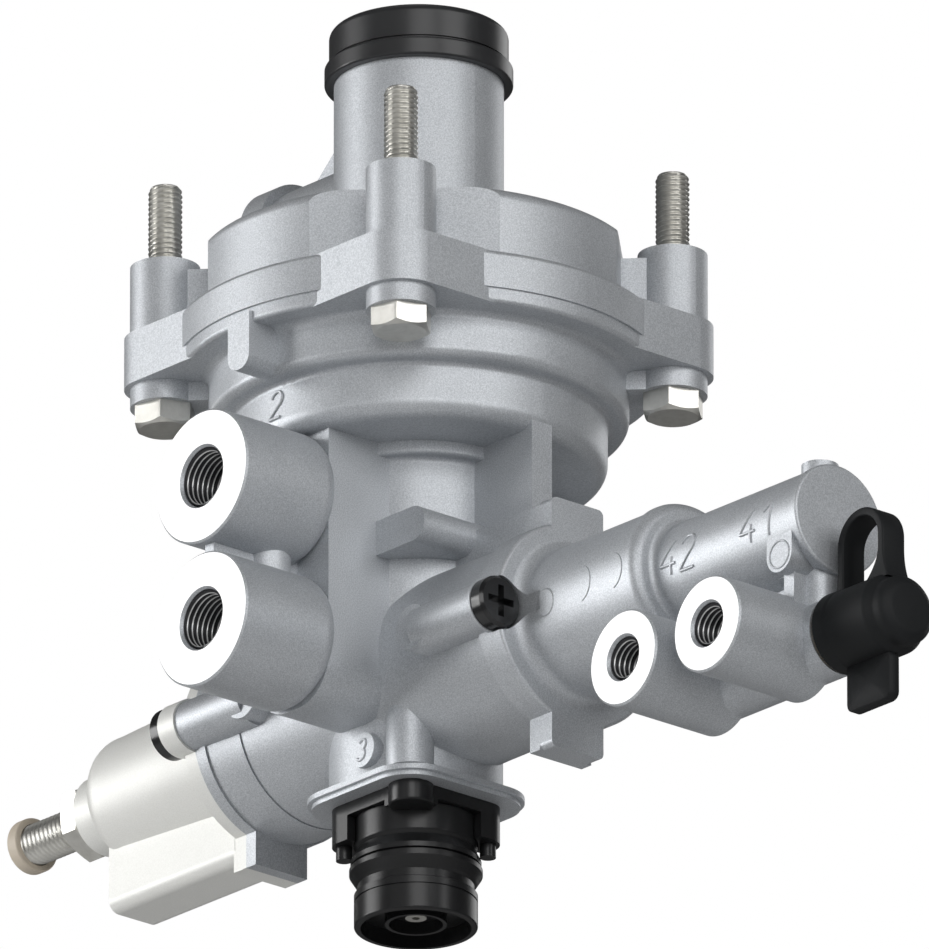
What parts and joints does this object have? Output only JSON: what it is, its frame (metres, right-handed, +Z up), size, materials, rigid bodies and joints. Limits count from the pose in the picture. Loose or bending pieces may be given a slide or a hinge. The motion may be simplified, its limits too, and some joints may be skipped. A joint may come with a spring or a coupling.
{
  "type": "brake force regulator",
  "caption": "Load-sensing brake force regulator with a relay valve: cast body with a round bowl, horizontal load cylinder, threaded ports, studs and exhaust silencer.",
  "frame": {"origin": "centre of the four mounting studs in the plane of the cover bosses' tops", "axes": "+Z up along the control column, +X along the load cylinder towards the test connection, the two large supply ports open towards -Y"},
  "size_m": [0.311, 0.1266, 0.2224],
  "materials": {
    "cast_aluminium": "fine sand-cast surface, ports machined",
    "black_plastic": "glossy moulded",
    "zinc_plated_steel": "bright zinc plated",
    "black_steel": "black zinc-nickel plated",
    "brass": "turned",
    "spring_steel": "drawn wire",
    "black_rubber": "matt moulded rubber",
    "light_casting": "light coated casting",
    "beige_plastic": "moulded",
    "piston_aluminium": "turned"
  },
  "bodies": {
    "housing": {"main_housing": "cast_aluminium", "upper_cover": "cast_aluminium", "top_cap": "black_plastic", "cover_bolts": "zinc_plated_steel", "bellows_head_screws": "black_steel", "spring_housing_screws": "black_steel", "bellows_head": "cast_aluminium", "test_fitting": "brass", "test_valve_spring": "spring_steel", "spring_housing": "light_casting", "lock_nut": "zinc_plated_steel", "load_spring": "spring_steel", "pilot_spring": "spring_steel", "cover_diaphragm": "black_rubber", "valve_spring": "spring_steel", "valve_guide": "brass", "silencer_holder": "black_plastic", "silencer_body": "black_plastic", "silencer_flap": "black_rubber", "silencer_seal": "black_rubber", "bellows_head_seal": "black_rubber", "spring_housing_seal": "black_rubber", "silencer_rivet": "zinc_plated_steel"},
    "test_pin": {"test_valve_pin": "brass"},
    "dust_cap": {"dust_cap": "black_rubber"},
    "adjuster": {"adjusting_screw": "zinc_plated_steel", "screw_end_cap": "beige_plastic"},
    "spring_seat": {"spring_seat": "zinc_plated_steel"},
    "control_piston": {"control_piston": "piston_aluminium", "control_piston_ring": "black_rubber"},
    "relay_piston": {"relay_piston": "piston_aluminium", "relay_piston_ring": "black_rubber"},
    "valve_tube": {"valve_tube": "black_rubber"},
    "tappet": {"tappet": "zinc_plated_steel"},
    "load_train": {"cam_slide": "zinc_plated_steel", "load_piston_large": "piston_aluminium", "load_piston_large_ring": "black_rubber", "load_piston_small": "piston_aluminium", "load_piston_small_ring": "black_rubber"}
  },
  "joints": [
    {"name": "control_piston_slide", "type": "slide", "parent": "housing", "child": "control_piston", "axis": [0, 0, -1], "range_m": [0, 0.003], "deforming": ["pilot_spring", "cover_diaphragm"]},
    {"name": "relay_piston_slide", "type": "slide", "parent": "housing", "child": "relay_piston", "axis": [0, 0, -1], "range_m": [0, 0.0025]},
    {"name": "valve_lift", "type": "slide", "parent": "housing", "child": "valve_tube", "axis": [0, 0, -1], "range_m": [0, 0.002], "stiffness_N_per_m": 900, "springref_m": -0.003, "deforming": ["valve_spring"]},
    {"name": "load_slide", "type": "slide", "parent": "housing", "child": "load_train", "axis": [-1, 0, 0], "range_m": [0, 0.018], "stiffness_N_per_m": 4000, "springref_m": -0.003, "deforming": ["load_spring"]},
    {"name": "tappet_lift", "type": "slide", "parent": "housing", "child": "tappet", "axis": [0, 0, 1], "range_m": [0, 0.006]},
    {"name": "seat_travel", "type": "slide", "parent": "housing", "child": "spring_seat", "axis": [-1, 0, 0], "range_m": [-0.003, 0.003]},
    {"name": "adjuster_turn", "type": "hinge", "parent": "housing", "child": "adjuster", "pos_m": [-0.1, 0, -0.1064], "axis": [1, 0, 0], "range_deg": [-760, 760]},
    {"name": "test_pin_press", "type": "slide", "parent": "housing", "child": "test_pin", "axis": [-1, 0, 0], "range_m": [0, 0.002], "stiffness_N_per_m": 500, "springref_m": -0.003, "deforming": ["test_valve_spring"]},
    {"name": "dust_cap_pull", "type": "slide", "parent": "housing", "child": "dust_cap", "axis": [1, 0, 0], "range_m": [0, 0.03]}
  ],
  "couplings": [
    {"joint": "tappet_lift", "follows": "load_slide", "ratio": 0.33333},
    {"joint": "adjuster_turn", "follows": "seat_travel", "rad_per_m": 4188.8}
  ]
}
